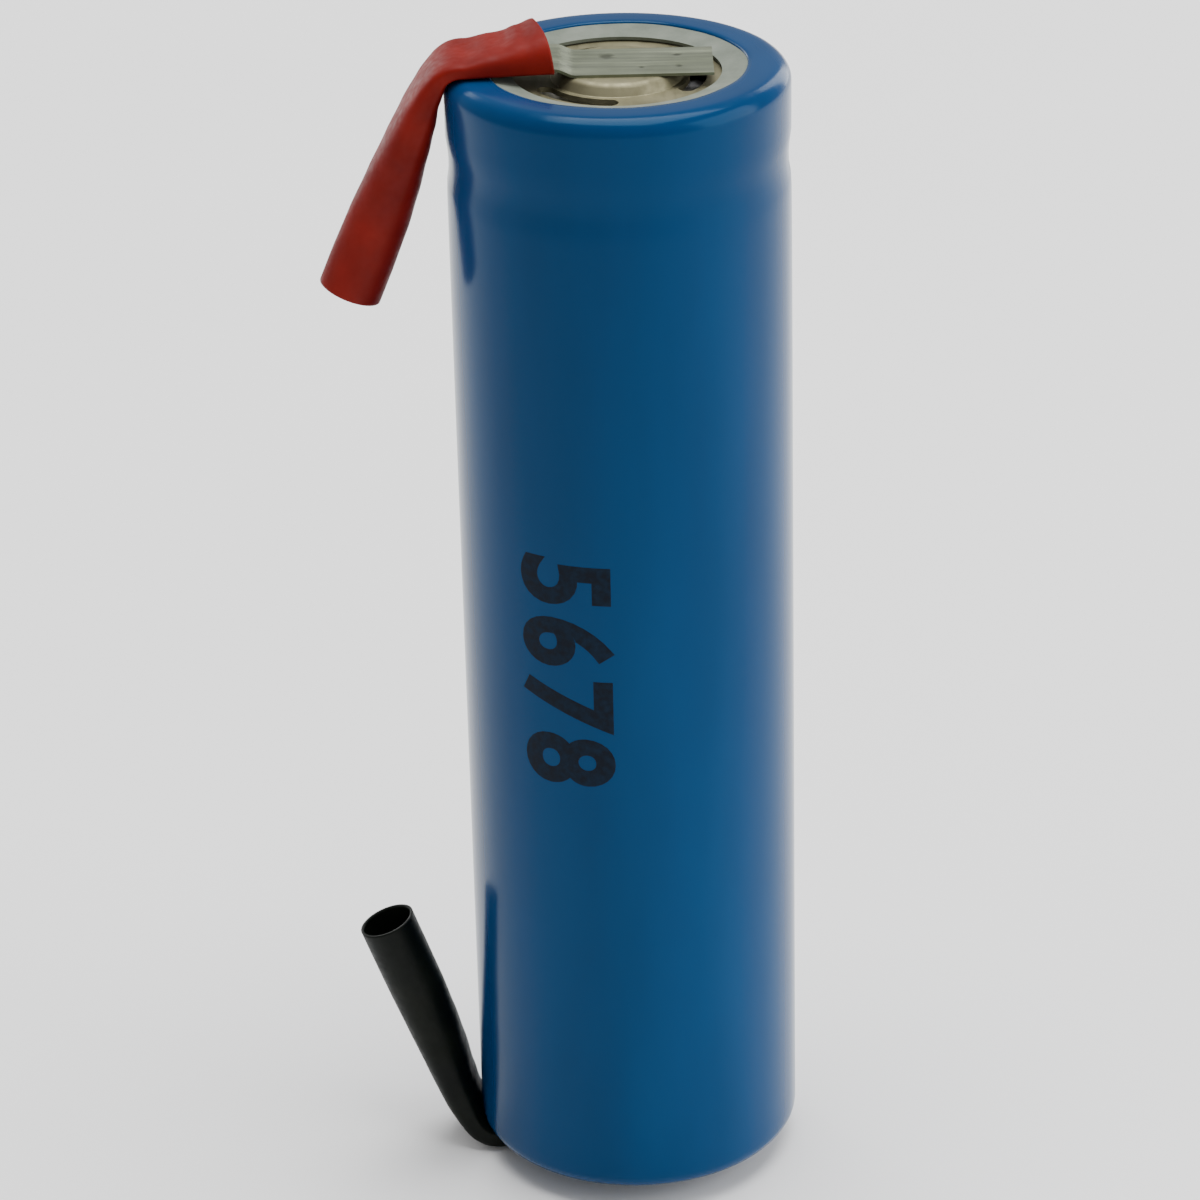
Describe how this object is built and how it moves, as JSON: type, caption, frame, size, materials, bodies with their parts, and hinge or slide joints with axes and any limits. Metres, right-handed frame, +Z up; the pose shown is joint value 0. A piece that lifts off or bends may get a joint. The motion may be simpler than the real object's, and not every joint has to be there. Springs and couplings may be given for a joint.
{
  "type": "cylindrical battery cell",
  "caption": "Cylindrical rechargeable cell in blue shrink wrap, with a sleeved solder strip bent down at each end.",
  "frame": {"origin": "centre of the negative solder strip's underside, on the cell's axis", "axes": "+Z runs up the cell's axis from the negative end to the positive end; both solder strips leave along -X"},
  "size_m": [0.0256, 0.0184, 0.0685],
  "materials": {
    "blue_film": "glossy heat-shrink film",
    "fibre_paper": "matt fibre paper",
    "plated_steel": "nickel-plated, satin",
    "cap_steel": "nickel-plated, satin",
    "gasket_plastic": "natural polypropylene",
    "ptc_polymer": "carbon-filled polymer with metal faces",
    "aluminium_sheet": "rolled",
    "cathode_coat": "black coated aluminium foil",
    "anode_coat": "graphite coated copper foil",
    "separator_film": "porous white film",
    "tape_film": "polyimide tape",
    "nickel_strip": "rolled nickel, satin",
    "red_sleeve": "satin heat-shrink tube",
    "black_sleeve": "satin heat-shrink tube"
  },
  "bodies": {
    "root": {"shrink_wrap": "blue_film", "top_washer": "fibre_paper", "steel_can": "plated_steel", "crimp_gasket": "gasket_plastic", "positive_cap": "cap_steel", "ptc_ring": "ptc_polymer", "vent_disc": "aluminium_sheet", "cid_insulator_ring": "gasket_plastic", "cid_contact_plate": "aluminium_sheet", "lower_insulator_disc": "fibre_paper", "upper_insulator_disc": "fibre_paper", "centre_pin": "plated_steel", "cathode_sheet": "cathode_coat", "anode_sheet": "anode_coat", "separator_inner": "separator_film", "separator_outer": "separator_film", "winding_tape": "tape_film", "cathode_lead": "aluminium_sheet", "anode_lead": "nickel_strip", "positive_strip": "nickel_strip", "positive_strip_fold": "nickel_strip", "positive_sleeve_end": "red_sleeve", "positive_sleeve_fold": "red_sleeve", "negative_strip": "nickel_strip", "negative_strip_fold": "nickel_strip", "negative_sleeve_end": "black_sleeve", "negative_sleeve_fold": "black_sleeve"},
    "positive_lead": {"positive_strip_tail": "nickel_strip", "positive_sleeve_tail": "red_sleeve"},
    "negative_lead": {"negative_strip_tail": "nickel_strip", "negative_sleeve_tail": "black_sleeve"}
  },
  "joints": [
    {"name": "positive_lead_bend", "type": "hinge", "parent": "root", "child": "positive_lead", "pos_m": [-0.00934, 0, 0.06529], "axis": [0, 1, 0], "range_deg": [-6, 155], "deforming": ["positive_strip_fold", "positive_sleeve_fold"]},
    {"name": "negative_lead_bend", "type": "hinge", "parent": "root", "child": "negative_lead", "pos_m": [-0.00951, 0, -0.00035], "axis": [0, -1, 0], "range_deg": [-6, 155], "deforming": ["negative_strip_fold", "negative_sleeve_fold"]}
  ]
}
